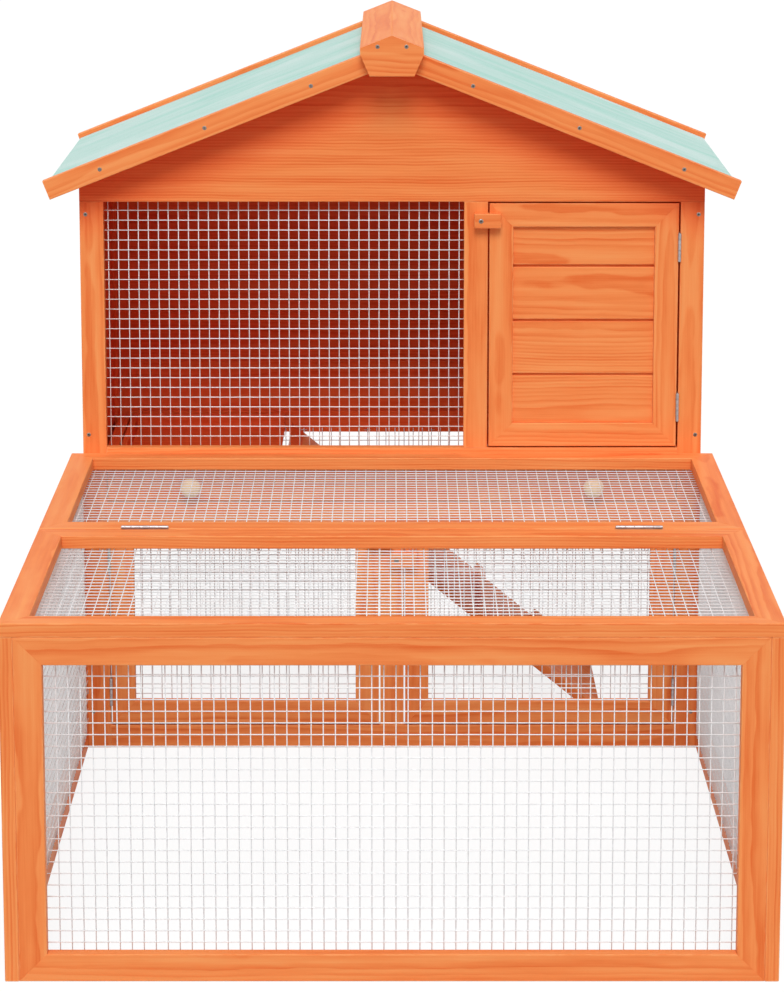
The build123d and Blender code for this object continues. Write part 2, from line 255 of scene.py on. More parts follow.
def wood_figure():
    """Growth rings, fibres and streaks of a board, cut from a log that lies along it.

    Each board's "place" is measured from its middle, with x along it. Its "log" says where in
    the log it was."""
    name = "Wood figure"
    if name in bpy.data.node_groups:
        return bpy.data.node_groups[name]
    tree, given, out = new_group(
        name,
        [("Ring", 0.0034), ("Wander", 0.009)],
        ["Late wood", "Fibre", "Streak", "Board"],
    )
    log = attribute(tree, "log")
    place = vector(tree, "ADD", attribute(tree, "place"), log)
    parts = node(tree, "ShaderNodeSeparateXYZ", {0: place}).outputs
    stray = calculate(tree, "SUBTRACT", noise(tree, place, (3.2, 11.0, 11.0), 2.0, 0.45), 0.5)
    wobble = calculate(tree, "SUBTRACT", noise(tree, place, (26.0, 60.0, 60.0), 1.0), 0.5)
    wobble = calculate(tree, "MULTIPLY", wobble, 0.0016)
    across = node(tree, "ShaderNodeCombineXYZ", {0: 0.0, 1: parts[1], 2: parts[2]}).outputs[0]
    radius = node(tree, "ShaderNodeVectorMath", {0: across}, operation="LENGTH").outputs["Value"]
    strayed = calculate(tree, "MULTIPLY_ADD", stray, given["Wander"], radius)
    radius = calculate(tree, "ADD", strayed, wobble)
    rings = calculate(tree, "DIVIDE", radius, given["Ring"])
    share = calculate(tree, "FRACT", rings)
    rise = spread(tree, share, 0.15, 0.86)
    fall = spread(tree, share, 0.86, 1.0, 1.0, 0.0)
    number = calculate(tree, "FLOOR", rings)
    strength = node(tree, "ShaderNodeTexWhiteNoise", {"W": number}, noise_dimensions="1D")
    strength = calculate(tree, "MULTIPLY_ADD", strength.outputs["Value"], 0.65, 0.35)
    late = calculate(tree, "MULTIPLY", calculate(tree, "MULTIPLY", rise, fall), strength)
    tree.links.new(late, out["Late wood"])
    tree.links.new(noise(tree, place, (14.0, 720.0, 720.0), 3.0, 0.6), out["Fibre"])
    tree.links.new(noise(tree, place, (5.0, 95.0, 95.0), 2.5, 0.55), out["Streak"])
    board = node(tree, "ShaderNodeTexWhiteNoise", {"Vector": log}, noise_dimensions="3D")
    tree.links.new(board.outputs["Value"], out["Board"])
    return tree


def edge_wear():
    """How worn a board is: 1 on its arrises, 0 away from them, broken up along their length."""
    name = "Edge wear"
    if name in bpy.data.node_groups:
        return bpy.data.node_groups[name]
    tree, given, out = new_group(name, [("Width", 0.0016)], ["Worn"])
    place = attribute(tree, "place")
    inward = vector(
        tree, "SUBTRACT", attribute(tree, "span"), vector(tree, "ABSOLUTE", place)
    )
    x, y, z = node(tree, "ShaderNodeSeparateXYZ", {0: inward}).outputs
    lesser = calculate(tree, "MINIMUM", x, y)
    greater = calculate(tree, "MAXIMUM", x, y)
    middle = calculate(tree, "MAXIMUM", lesser, calculate(tree, "MINIMUM", greater, z))
    moved = vector(tree, "ADD", place, attribute(tree, "log"))
    patches = noise(tree, moved, (45.0, 160.0, 160.0), 3.0, 0.6)
    patch_reach = spread(tree, patches, 0.35, 0.75, 0.25, 1.6)
    reach = calculate(tree, "MULTIPLY", given["Width"], patch_reach)
    share = calculate(tree, "DIVIDE", middle, reach)
    tree.links.new(spread(tree, share, 0.2, 1.0, 1.0, 0.0), out["Worn"])
    return tree


def painted_shade_mask():
    """How much shade is painted on the wood: 1 inside the house and right under its eaves, 0 in
    the open.

    The "home" of a point is its place with every door and the lid shut."""
    name = "Shelter"
    if name in bpy.data.node_groups:
        return bpy.data.node_groups[name]
    tree, given, out = new_group(name, [("Reach", 0.075)], ["Sheltered"])
    x, y, z = node(tree, "ShaderNodeSeparateXYZ", {0: attribute(tree, "home")}).outputs
    side = calculate(tree, "ABSOLUTE", x)
    before_back = calculate(tree, "LESS_THAN", y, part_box("back_boards")[1].y - CLEAR)
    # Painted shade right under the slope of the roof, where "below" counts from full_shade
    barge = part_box("front_barge_boards")
    full_shade, felt_side = 0.040, 0.033
    line = calculate(tree, "MULTIPLY_ADD", side, -math.tan(ROOF_SLOPE), barge[1].z)
    below = calculate(tree, "SUBTRACT", calculate(tree, "SUBTRACT", line, z), full_shade)
    share = calculate(tree, "DIVIDE", below, given["Reach"])
    eaves = spread(tree, share, 0.0, 1.0, 1.0, 0.0)
    eaves = calculate(tree, "MULTIPLY", eaves, calculate(tree, "GREATER_THAN", y, barge[1].y))
    under_roof = calculate(tree, "GREATER_THAN", below, -felt_side)
    # Painted shade inside the upper storey
    walls = calculate(tree, "LESS_THAN", side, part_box("right_wall_boards")[1].x - CLEAR)
    front = calculate(tree, "GREATER_THAN", y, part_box("upper_door_frame")[1].y + HAIR)
    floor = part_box("tray_floor")[0].z
    upper = spread(tree, z, floor - CLEAR, floor)
    inside = calculate(tree, "MULTIPLY", calculate(tree, "MULTIPLY", walls, front), upper)
    painted_shade_masked = calculate(tree, "MAXIMUM", inside, eaves)
    for limit in (before_back, under_roof):
        painted_shade_masked = calculate(tree, "MULTIPLY", painted_shade_masked, limit)
    tree.links.new(painted_shade_masked, out["Sheltered"])
    return tree


def zinc_mottle():
    """Cloudy spangle of hot-dipped zinc, and how rough each grain is."""
    name = "Zinc mottle"
    if name in bpy.data.node_groups:
        return bpy.data.node_groups[name]
    tree, given, out = new_group(name, [("Grain", 400.0)], ["Dull", "Rough"])
    place = node(tree, "ShaderNodeTexCoord").outputs["Object"]
    inputs = {"Vector": place, "Scale": given["Grain"]}
    grains = node(tree, "ShaderNodeTexVoronoi", inputs, voronoi_dimensions="3D")
    grain = node(tree, "ShaderNodeSeparateColor", {0: grains.outputs["Color"]}).outputs[0]
    cloud = noise(tree, place, (60.0, 60.0, 60.0), 3.0)
    mixed = calculate(tree, "MULTIPLY_ADD", grain, 0.5, calculate(tree, "MULTIPLY", cloud, 0.5))
    tree.links.new(mixed, out["Dull"])
    tree.links.new(spread(tree, cloud, 0.2, 0.8, 0.30, 0.52), out["Rough"])
    return tree


def use_group(tree, group, **values):
    made = node(tree, "ShaderNodeGroup", node_tree=group)
    for label, value in values.items():
        made.inputs[label.replace("_", " ").capitalize()].default_value = value
    return made.outputs


def new_material(name, settings):
    """A material whose shader has the given constant values."""
    material = bpy.data.materials.new(name)
    material.use_nodes = True
    shader = material.node_tree.nodes["Principled BSDF"]
    for key, value in settings.items():
        shader.inputs[key].default_value = value
    return material, material.node_tree, shader.inputs


def add_bump(tree, socket, height, distance, strength=1.0):
    inputs = {"Height": height, "Distance": distance, "Strength": strength}
    tree.links.new(node(tree, "ShaderNodeBump", inputs).outputs[0], socket)


def wood_material(name, deep, mid, light, rubbed, painted_shade_tint, rough, worn_share, shine):
    """Wood with rings, fibres and streaks under a thin finish."""
    timber = bpy.context.scene.hutch_timber
    material, tree, shader = new_material(
        name, {"Coat Weight": shine, "Coat Roughness": 0.35, "Specular IOR Level": 0.14}
    )
    figure = use_group(tree, wood_figure(), ring=timber.ring, wander=timber.wander)
    late, fibre, streak, board = (figure[i] for i in range(4))
    # The tone runs from deep to light, and each part of the figure has its own weight in it
    early, late_weight = 0.58, -0.34
    weights = ((fibre, 0.34), (streak, 0.75), (board, 0.16))
    tone = calculate(tree, "MULTIPLY_ADD", late, late_weight, early)
    for part, weight in weights:
        centred = calculate(tree, "SUBTRACT", part, 0.5)
        tone = calculate(tree, "MULTIPLY_ADD", centred, weight, tone)
    ramp = node(tree, "ShaderNodeValToRGB", {0: tone})
    stops = ramp.color_ramp.elements
    stops[0].position, stops[0].color = 0.08, deep
    stops[1].position, stops[1].color = 0.92, light
    middle = stops.new(0.50)
    middle.color = mid
    worn = use_group(tree, edge_wear())["Worn"]
    worn_part = calculate(tree, "MULTIPLY", worn, worn_share)
    colour = blend_colours(tree, worn_part, ramp.outputs[0], rubbed)
    # Painted shade: inside the house and right under its eaves the stain is darkened and reddened,
    # in place of shade and orange bounce light
    painted_shade_masked = use_group(tree, painted_shade_mask())["Sheltered"]
    colour = blend_colours(tree, painted_shade_masked, colour, painted_shade_tint, "MULTIPLY")
    tree.links.new(colour, shader["Base Color"])
    roughness = calculate(tree, "MULTIPLY_ADD", fibre, 0.20, rough - 0.10)
    roughness = calculate(tree, "MULTIPLY_ADD", worn, 0.10, roughness)
    tree.links.new(roughness, shader["Roughness"])
    height = calculate(tree, "MULTIPLY_ADD", late, 0.5, calculate(tree, "MULTIPLY", fibre, 0.6))
    add_bump(tree, shader["Normal"], height, 0.00022, 0.55)
    return material


def stained_wood():
    name = "Stained fir"
    if name in bpy.data.materials:
        return bpy.data.materials[name]
    timber = bpy.context.scene.hutch_timber
    tones = [timber.stain_deep, timber.stain_mid, timber.stain_light]
    tones += [timber.rubbed, timber.painted_shade_tint]
    return wood_material(name, *map(to_linear, tones), timber.stain_rough, 0.45, 0.0)


def pale_wood():
    name = "Turned beech"
    if name in bpy.data.materials:
        return bpy.data.materials[name]
    timber = bpy.context.scene.hutch_timber
    # The knobs get no painted shade: their painted shade tint is white
    no_tint = (1.0, 1.0, 1.0)
    tones = [timber.pale_late, timber.pale, timber.pale, timber.pale, no_tint]
    return wood_material(name, *map(to_linear, tones), 0.46, 0.0, 0.10)


def zinc_material(name, bright, dull, metallic, grain):
    material, tree, shader = new_material(name, {"Metallic": metallic})
    mottle = use_group(tree, zinc_mottle(), grain=grain)
    colour = blend_colours(tree, mottle["Dull"], bright, dull)
    tree.links.new(colour, shader["Base Color"])
    tree.links.new(mottle["Rough"], shader["Roughness"])
    add_bump(tree, shader["Normal"], mottle["Dull"], 0.00004)
    return material


def metal(name):
    """Galvanised wire, or the thicker zinc of hinges, or the darker zinc of screws."""
    if name in bpy.data.materials:
        return bpy.data.materials[name]
    metals = bpy.context.scene.hutch_metal
    zinc, dull = to_linear(metals.zinc), to_linear(metals.zinc_dull)
    if name == "Galvanised wire":
        return zinc_material(name, zinc, dull, 0.10, 900.0)
    if name == "Zinc plate":
        plate = to_linear(metals.plate)
        return zinc_material(name, plate, to_linear(metals.plate_dull), 0.75, 260.0)
    screw, darker = to_linear(metals.screw_colour), 0.55
    return zinc_material(name, screw, (*(darker * c for c in screw[:3]), 1.0), 0.9, 700.0)


def mineral_felt():
    """Felt with coloured mineral grit, in streaks down the slope."""
    name = "Mineral felt"
    if name in bpy.data.materials:
        return bpy.data.materials[name]
    roof = bpy.context.scene.hutch_roof
    material, tree, shader = new_material(name, {"Specular IOR Level": 0.25})
    place = vector(tree, "ADD", attribute(tree, "place"), attribute(tree, "log"))
    streaks = noise(tree, place, (5.0, 34.0, 34.0), 3.5, 0.55)
    clouds = noise(tree, place, (7.0, 9.0, 9.0), 2.0)
    inputs = {"Vector": place, "Scale": 1.0 / roof.grit}
    grains = node(tree, "ShaderNodeTexVoronoi", inputs, voronoi_dimensions="3D")
    grain = node(tree, "ShaderNodeSeparateColor", {0: grains.outputs["Color"]}).outputs[0]
    greener = spread(tree, streaks, 0.36, 0.60, 1.0, 0.0)
    paler = spread(tree, clouds, 0.45, 0.70)
    colour = blend_colours(tree, greener, to_linear(roof.felt), to_linear(roof.felt_green))
    paler = calculate(tree, "MULTIPLY", paler, 0.8)
    colour = blend_colours(tree, paler, colour, to_linear(roof.felt_pale))
    speck = spread(tree, grain, 0.86, 0.98, 0.0, 0.22)
    colour = blend_colours(tree, speck, colour, to_linear(roof.grain))
    tree.links.new(colour, shader["Base Color"])
    tree.links.new(spread(tree, grain, 0.0, 1.0, 0.78, 0.95), shader["Roughness"])
    bumps = calculate(tree, "MULTIPLY_ADD", grains.outputs["Distance"], -1.0, streaks)
    add_bump(tree, shader["Normal"], bumps, 0.0004, 0.6)
    return material


# Meshes

# A face is a board's side if its normal leans less than this along the board, and its end if more
SIDE_TILT = 0.05
END_TILT = 0.3
# The least angle of an edge that gets rounded
SHARP = math.radians(15)


def solids_of(name):
    """The separate solids of a CAD node, each as a bmesh of whole flat faces.

    A node's faces come solid by solid, and each solid is closed. Touching solids stay apart."""
    mesh = nodes[name].data
    places = [tuple(round(c, 7) for c in v.co) for v in mesh.vertices]
    solids, faces, open_edges = [], [], set()
    for polygon in mesh.polygons:
        corners = [places[i] for i in polygon.vertices]
        faces.append(corners)
        for i, corner in enumerate(corners):
            open_edges ^= {frozenset((corners[i - 1], corner))}
        if not open_edges:
            solids.append(faces)
            faces = []
    if faces:
        raise RuntimeError(f"{name} has an open solid")
    return [whole_faces(faces) for faces in solids]


def whole_faces(faces):
    """A bmesh of the triangles, with those in one plane joined."""
    solid = bmesh.new()
    made = {}
    for corners in faces:
        for corner in corners:
            if corner not in made:
                made[corner] = solid.verts.new(corner)
        solid.faces.new([made[corner] for corner in corners])
    solid.normal_update()
    flat = math.radians(0.5)
    bmesh.ops.dissolve_limit(solid, angle_limit=flat, verts=solid.verts, edges=solid.edges)
    bmesh.ops.recalc_face_normals(solid, faces=solid.faces)
    return solid


def extents(points):
    """The least and the greatest corner of the box round some points."""
    low = Vector([min(p[i] for p in points) for i in range(3)])
    high = Vector([max(p[i] for p in points) for i in range(3)])
    return low, high


def board_axes(solid):
    """A board's own axes: along its longest edge, across it, and through its thickness."""
    longest = max(solid.edges, key=lambda edge: round(edge.calc_length(), 5))
    along = (longest.verts[1].co - longest.verts[0].co).normalized()
    if max(along, key=abs) < 0:
        along.negate()
    sides = [face for face in solid.faces if abs(face.normal.dot(along)) < SIDE_TILT]
    widest = max(sides, key=lambda face: round(face.calc_area(), 7))
    through = widest.normal.copy()
    if max(through, key=abs) < 0:
        through.negate()
    return along, through.cross(along), through


def round_arrises(solid, along, arris, end_arris):
    """Rounds the long edges, then the ends with a much smaller edge, so that joints stay tight."""
    solid.normal_update()
    long_edges = [
        edge
        for edge in solid.edges
        if all(abs(face.normal.dot(along)) < SIDE_TILT for face in edge.link_faces)
        and edge.calc_face_angle_signed() > SHARP
    ]
    bevel = {"offset_type": "OFFSET", "profile": 0.5, "affect": "EDGES", "clamp_overlap": True}
    bmesh.ops.bevel(solid, geom=long_edges, offset=arris, segments=2, **bevel)
    solid.normal_update()
    ends = {face for face in solid.faces if abs(face.normal.dot(along)) > END_TILT}
    end_edges = [
        edge
        for edge in solid.edges
        if any(face in ends for face in edge.link_faces)
        and edge.calc_face_angle_signed() > SHARP
    ]
    bmesh.ops.bevel(solid, geom=end_edges, offset=end_arris, segments=1, **bevel)


def write_vectors(mesh, name, values):
    layer = mesh.attributes.new(name, "FLOAT_VECTOR", "POINT")
    layer.data.foreach_set("vector", [c for value in values for c in value])


class Shape:
    """Points and faces of one piece, with each point's place on its board."""

    def __init__(self):
        self.points, self.faces = [], []
        self.places, self.spans, self.logs = [], [], []

    def add(self, points, faces):
        first = len(self.points)
        self.points.extend(points)
        self.faces.extend([first + i for i in face] for face in faces)

    def add_rings(self, rings):
        """Adds a closed skin over rings of points, each with the same number of points."""
        count = len(rings[0])
        faces = []
        for k in range(len(rings) - 1):
            for i in range(count):
                j = (i + 1) % count
                a, b = k * count, (k + 1) * count
                faces.append([a + i, a + j, b + j, b + i])
        last = (len(rings) - 1) * count
        faces.append(list(reversed(range(count))))
        faces.append([last + i for i in range(count)])
        self.add([point for ring in rings for point in ring], faces)

    def add_board(self, solid, axes, draw):
        """Adds a board, cut from a chance place in a log."""
        solid.verts.index_update()
        turned = Matrix(axes)
        local = [turned @ v.co for v in solid.verts]
        low, high = extents(local)
        middle, half = (low + high) / 2, (high - low) / 2
        log = Vector((
            draw.uniform(0.0, 40.0),
            draw.choice((-1, 1)) * draw.uniform(0.05, 1.1) * max(half[1], 0.012),
            draw.choice((-1, 1)) * (half[2] + draw.uniform(0.018, 0.060)),
        ))
        faces = [[v.index for v in face.verts] for face in solid.faces]
        self.add([v.co.copy() for v in solid.verts], faces)
        self.places.extend(p - middle for p in local)
        self.spans.extend([half] * len(local))
        self.logs.extend([log] * len(local))
        solid.free()

    def mesh(self, name, smooth=None):
        """The finished mesh. smooth: the greatest angle, in degrees, that is shaded as one."""
        mesh = bpy.data.meshes.new(name)
        mesh.from_pydata([tuple(p) for p in self.points], [], self.faces)
        if self.places:
            write_vectors(mesh, "home", self.points)
            write_vectors(mesh, "place", self.places)
            write_vectors(mesh, "span", self.spans)
            write_vectors(mesh, "log", self.logs)
        if smooth is not None:
            mesh.shade_smooth()
            mesh.set_sharp_from_angle(angle=math.radians(smooth))
        mesh.validate()
        mesh.update()
        return mesh


def put(name, mesh, body, material, replaced=()):
    """Puts a finished piece in the scene, on its body."""
    mesh.materials.append(material)
    piece = bpy.data.objects.new(name, mesh)
    bpy.context.scene.collection.objects.link(piece)
    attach(piece, body)
    if replaced:
        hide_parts(*replaced)
    return piece


def make_boards(name):
    """Boards in place of a CAD node's plain ones, with the node's name and _timber."""
    timber = bpy.context.scene.hutch_timber
    draw = random.Random(name)
    shape = Shape()
    for solid in solids_of(name):
        axes = board_axes(solid)
        round_arrises(solid, axes[0], timber.arris, timber.end_arris)
        shape.add_board(solid, axes, draw)
    body = nodes[name]["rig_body"]
    put(f"{name}_timber", shape.mesh(name), body, stained_wood(), [name])


def ring_points(centre, across, up, radius, sides):
    """Points of a circle."""
    angles = [2 * math.pi * i / sides for i in range(sides)]
    return [centre + radius * (math.cos(a) * across + math.sin(a) * up) for a in angles]


def add_lathe(shape, base, outward, profile, sides):
    """A turned form. profile: (distance along outward, radius) from the base to the end."""
    across = outward.orthogonal().normalized()
    up = outward.cross(across)
    shape.add_rings([
        ring_points(base + distance * outward, across, up, radius, sides)
        for distance, radius in profile
    ])


def add_tube(shape, path, radius, sides):
    """A round wire along a path of straight runs, mitred at its corners."""
    steps = [(b - a).normalized() for a, b in zip(path, path[1:])]
    across = steps[0].orthogonal().normalized()
    rings = []
    for i, centre in enumerate(path):
        before, after = steps[max(i - 1, 0)], steps[min(i, len(steps) - 1)]
        if i:
            turn = steps[max(i - 2, 0)].rotation_difference(before)
            across = turn @ across
        ring = ring_points(centre, across, before.cross(across), radius, sides)
        seam = (before + after).normalized()
        rings.append([p + before * (seam.dot(centre - p) / seam.dot(before)) for p in ring])
    shape.add_rings(rings)


def add_prism(shape, origin, axes, outline, low, high):
    """A flat outline in the plane of the first two axes, given thickness along the third."""
    count = len(outline)
    points = [
        origin + a * axes[0] + b * axes[1] + level * axes[2]
        for level in (low, high)
        for a, b in outline
    ]
    faces = [list(reversed(range(count))), list(range(count, 2 * count))]
    for i in range(count):
        j = (i + 1) % count
        faces.append([i, j, count + j, count + i])
    shape.add(points, faces)


def add_screw(shape, place, outward, radius, proud, turn):
    """A screw's head with a cross recess. turn: how far the cross is turned, in radians."""
    across = outward.orthogonal().normalized()
    up = outward.cross(across)
    arm, half_slot = 0.58 * radius, 0.15 * radius
    corner = math.atan2(half_slot, arm)
    quarter = [-corner, 0.0, corner, math.radians(27), math.radians(45), math.radians(63)]
    angles = [turn + k * math.pi / 2 + a for k in range(4) for a in quarter]

    def cross_reach(angle):
        c, s = abs(math.cos(angle - turn)), abs(math.sin(angle - turn))
        level = min(arm / max(c, 1e-6), half_slot / max(s, 1e-6))
        upright = min(arm / max(s, 1e-6), half_slot / max(c, 1e-6))
        return max(level, upright)

    levels = [
        (lambda angle: radius, 0.0),
        (lambda angle: radius, 0.35 * proud),
        (lambda angle: 0.86 * radius, 0.80 * proud),
        (lambda angle: 0.62 * radius, proud),
        (cross_reach, proud),
        (lambda angle: 0.80 * cross_reach(angle), proud - 0.34 * radius),
    ]
    rings = []
    for reach, level in levels:
        flat = [math.cos(angle) * across + math.sin(angle) * up for angle in angles]
        rings.append([
            place + reach(angle) * way + level * outward for angle, way in zip(angles, flat)
        ])
    shape.add_rings(rings)


# What each net is stapled to
NET_FRAMES = {
    "run_front_net": "run_front_frame",
    "run_left_net": "run_left_frame",
    "run_right_net": "run_right_frame",
    "lid_net": "lid_frame",
    "rear_top_net": "rear_top_frame",
    "window_net": "sill_rail",
    "left_wall_net": "left_wall_frame",
    "right_wall_net": "right_wall_frame",
    "back_net": "back_frame",
    "lower_left_door_net": "lower_left_door_frame",
    "lower_right_door_net": "lower_right_door_frame",
}


def make_staples(name, wires, thin):
    """Staples over the ends of some of a net's wires, driven into its frame."""
    metals = bpy.context.scene.hutch_metal
    shape = Shape()
    low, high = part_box(name)
    frame_low, frame_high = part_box(NET_FRAMES[name])
    to_wood = Vector((0.0, 0.0, 0.0))
    wood_is_low = (frame_low + frame_high)[thin] < (low + high)[thin]
    to_wood[thin] = -1.0 if wood_is_low else 1.0
    face = low[thin] if wood_is_low else high[thin]
    staple, crown, from_end, into_wood = 0.00035, 0.0040, 0.0028, 0.001
    over_wire = 0.0006 + 0.6 * staple
    ways = {}
    for centre, outward, reach in wires:
        ways.setdefault(tuple(outward), []).append((centre, outward, reach))
    for family in ways.values():
        across = family[0][1].cross(to_wood)
        family.sort(key=lambda wire: wire[0].dot(across))
        for centre, outward, reach in family[metals.staple_gap // 2 :: metals.staple_gap]:
            for way in (-1, 1):
                over = centre + way * (reach - from_end) * outward
                over = over - to_wood * over_wire
                depth = abs(face - over[thin]) + into_wood
                ends = [over - crown * across, over + crown * across]
                path = [ends[0] + depth * to_wood, *ends, ends[1] + depth * to_wood]
                add_tube(shape, path, staple, 6)
    body = nodes[name]["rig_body"]
    put(f"{name}_staples", shape.mesh(f"{name}_staples", 40), body, metal("Zinc plate"))


def make_net(name):
    """Round welded wires in place of a CAD net's square ones."""
    metals = bpy.context.scene.hutch_metal
    shape = Shape()
    low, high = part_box(name)
    size = high - low
    thin = min(range(3), key=lambda i: size[i])
    middle = (low[thin] + high[thin]) / 2
    wires = []
    for solid in solids_of(name):
        near, far = extents([v.co for v in solid.verts])
        extent = far - near
        long_way = max(range(3), key=lambda i: extent[i])
        radius = min(extent) / 2
        centre = (near + far) / 2
        centre[thin] += math.copysign(metals.weld_sink / 2, middle - centre[thin])
        outward = Vector([1.0 if i == long_way else 0.0 for i in range(3)])
        start = centre - outward * extent[long_way] / 2
        chamfer = radius * 0.4
        profile = [
            (0.0, radius - chamfer),
            (chamfer, radius),
            (extent[long_way] - chamfer, radius),
            (extent[long_way], radius - chamfer),
        ]
        add_lathe(shape, start, outward, profile, metals.wire_sides)
        wires.append((centre, outward, extent[long_way] / 2))
        solid.free()
    body = nodes[name]["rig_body"]
    put(f"{name}_wires", shape.mesh(name, 50), body, metal("Galvanised wire"), [name])
    return wires, thin


# Operators


def seen_directly(tree):
    """1 for what the camera sees, also in a reflection or through glass, 0 for bounced light."""
    path = node(tree, "ShaderNodeLightPath").outputs
    seen = calculate(tree, "MAXIMUM", path["Is Camera Ray"], path["Is Glossy Ray"])
    return calculate(tree, "MAXIMUM", seen, path["Is Transmission Ray"])


class HUTCH_OT_stage(bpy.types.Operator):
    """Floor, sky, lamp and camera"""

    bl_idname = "hutch.stage"
    bl_label = "Stage"

    def execute(self, context):
        stage = context.scene.hutch_stage
        context.scene.view_settings.view_transform = "Standard"
        self.make_floor(stage)
        self.make_sky(context.scene, stage)
        self.make_lamp(context.scene, stage)
        self.make_camera(context.scene, stage)
        return {"FINISHED"}

    def make_floor(self, stage):
        size = 30.0
        shape = Shape()
        corners = [(-size, -size, 0), (size, -size, 0), (size, size, 0), (-size, size, 0)]
        shape.add([Vector(c) for c in corners], [[0, 1, 2, 3]])
        mesh = shape.mesh("floor")
        material = bpy.data.materials.new("floor")
        material.use_nodes = True
        tree = material.node_tree
        tree.nodes.clear()
        place = node(tree, "ShaderNodeTexCoord").outputs["Object"]
        cloud = spread(tree, noise(tree, place, (1.5, 1.5, 1.5), 3.0), 0.0, 1.0, 0.99, 1.0)
        seen = seen_directly(tree)
        tone = blend_colours(tree, cloud, (0.0, 0.0, 0.0, 1.0), to_linear(stage.floor))
        tone = blend_colours(tree, seen, tone, (1.0, 1.0, 1.0, 1.0))
        plain = node(tree, "ShaderNodeBsdfDiffuse", {"Color": tone, "Roughness": 0.9})
        white = node(tree, "ShaderNodeEmission", {"Strength": 1.0})
        lift = calculate(tree, "MULTIPLY", seen, stage.floor_lift)
        mixed = node(
            tree, "ShaderNodeMixShader", {0: lift, 1: plain.outputs[0], 2: white.outputs[0]}
        )
        node(tree, "ShaderNodeOutputMaterial", {0: mixed.outputs[0]})
        mesh.materials.append(material)
        floor = bpy.data.objects.new("floor", mesh)
        bpy.context.scene.collection.objects.link(floor)
        # Just under the feet, so that no two faces share a plane
        floor.location.z = -0.0005

    def make_sky(self, scene, stage):
        world = bpy.data.worlds.new("sky")
        scene.world = world
        world.use_nodes = True
        tree = world.node_tree
        tree.nodes.clear()
        seen = seen_directly(tree)
        direction = node(tree, "ShaderNodeTexCoord").outputs["Generated"]
        height = node(tree, "ShaderNodeSeparateXYZ", {0: direction}).outputs[2]
        light = spread(tree, height, 0.0, 0.8, stage.sky_side, stage.sky_top)
        strength = calculate(tree, "MAXIMUM", seen, light)
        glow = node(tree, "ShaderNodeBackground", {"Strength": strength})
        glow.inputs["Color"].default_value = (1.0, 1.0, 1.0, 1.0)
        node(tree, "ShaderNodeOutputWorld", {0: glow.outputs[0]})

    def make_lamp(self, scene, stage):
        data = bpy.data.lights.new("front_lamp", "SUN")
        data.angle = math.radians(28.0)
        data.energy = stage.lamp
        lamp = bpy.data.objects.new("front_lamp", data)
        scene.collection.objects.link(lamp)
        away = Vector((0.0, -math.cos(stage.lamp_height), math.sin(stage.lamp_height)))
        lamp.location = away * 4.0
        lamp.rotation_euler = (-away).to_track_quat("-Z", "Y").to_euler()

    def make_camera(self, scene, stage):
        data = bpy.data.cameras.new("camera")
        data.sensor_fit = "AUTO"
        data.sensor_width = 36.0
        data.lens = stage.camera_lens
        data.shift_y = -0.2
        data.clip_end = 100.0
        camera = bpy.data.objects.new("camera", data)
        scene.collection.objects.link(camera)
        camera.location = (0.0, stage.camera_y, stage.camera_z)
        camera.rotation_euler = (math.pi / 2 - stage.camera_pitch, 0.0, 0.0)
        scene.camera = camera


class HUTCH_OT_run(bpy.types.Operator):
    """Frames of the run, with its lid"""

    bl_idname = "hutch.run"
    bl_label = "Run frames"

    def execute(self, context):
        for name in (
            "run_front_frame",
            "run_left_frame",
            "run_right_frame",
            "rear_top_frame",
            "lid_frame",
        ):
            make_boards(name)
        return {"FINISHED"}


class HUTCH_OT_house_front(bpy.types.Operator):
    """Posts, rails and gable board of the house's front"""

    bl_idname = "hutch.house_front"
    bl_label = "House front"

    def execute(self, context):
        for name in (
            "front_corner_posts",
            "front_bottom_rail",
            "tray_rail",
            "sill_rail",
            "mullion",
            "middle_post",
            "front_gable_board",
        ):
            make_boards(name)
        return {"FINISHED"}


class HUTCH_OT_walls(bpy.types.Operator):
    """Side walls and back of the house"""

    bl_idname = "hutch.walls"
    bl_label = "Walls"

    def execute(self, context):
        for name in (
            "left_wall_frame",
            "left_wall_boards",
            "right_wall_frame",
            "right_wall_boards",
            "back_frame",
            "back_boards",
            "back_gable_board",
        ):
            make_boards(name)
        return {"FINISHED"}


class HUTCH_OT_doors(bpy.types.Operator):
    """Upper door with its boards, and the pair of lower doors"""

    bl_idname = "hutch.doors"
    bl_label = "Doors"

    def execute(self, context):
        for name in (
            "upper_door_frame",
            "upper_door_boards",
            "lower_left_door_frame",
            "lower_right_door_frame",
        ):
            make_boards(name)
        return {"FINISHED"}


class HUTCH_OT_turn_buttons(bpy.types.Operator):
    """Turn buttons that hold the doors shut"""

    bl_idname = "hutch.turn_buttons"
    bl_label = "Turn buttons"

    def execute(self, context):
        timber = context.scene.hutch_timber
        axes = (Vector((1, 0, 0)), Vector((0, 0, -1)), Vector((0, 1, 0)))
        for name in ("upper_turn_button", "lower_left_turn_button", "lower_right_turn_button"):
            solid = bmesh.new()
            low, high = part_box(name)
            # Just clear of the frames that it turns over
            high = high - Vector((0.0, 0.0001, 0.0))
            bmesh.ops.create_cube(solid, size=1.0)
            for v in solid.verts:
                v.co = (low + high) / 2 + v.co * (high - low)
            round_arrises(solid, axes[0], timber.arris, timber.arris)
            shape = Shape()
            shape.add_board(solid, axes, random.Random(name))
            put(
                f"{name}_timber",
                shape.mesh(name),
                nodes[name]["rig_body"],
                stained_wood(),
                [name],
            )
        return {"FINISHED"}


class HUTCH_OT_tray(bpy.types.Operator):
    """Sliding tray and the runners that carry it"""

    bl_idname = "hutch.tray"
    bl_label = "Tray"

    def execute(self, context):
        for name in ("tray_runners", "tray_front", "tray_floor", "tray_walls"):
            make_boards(name)
        return {"FINISHED"}


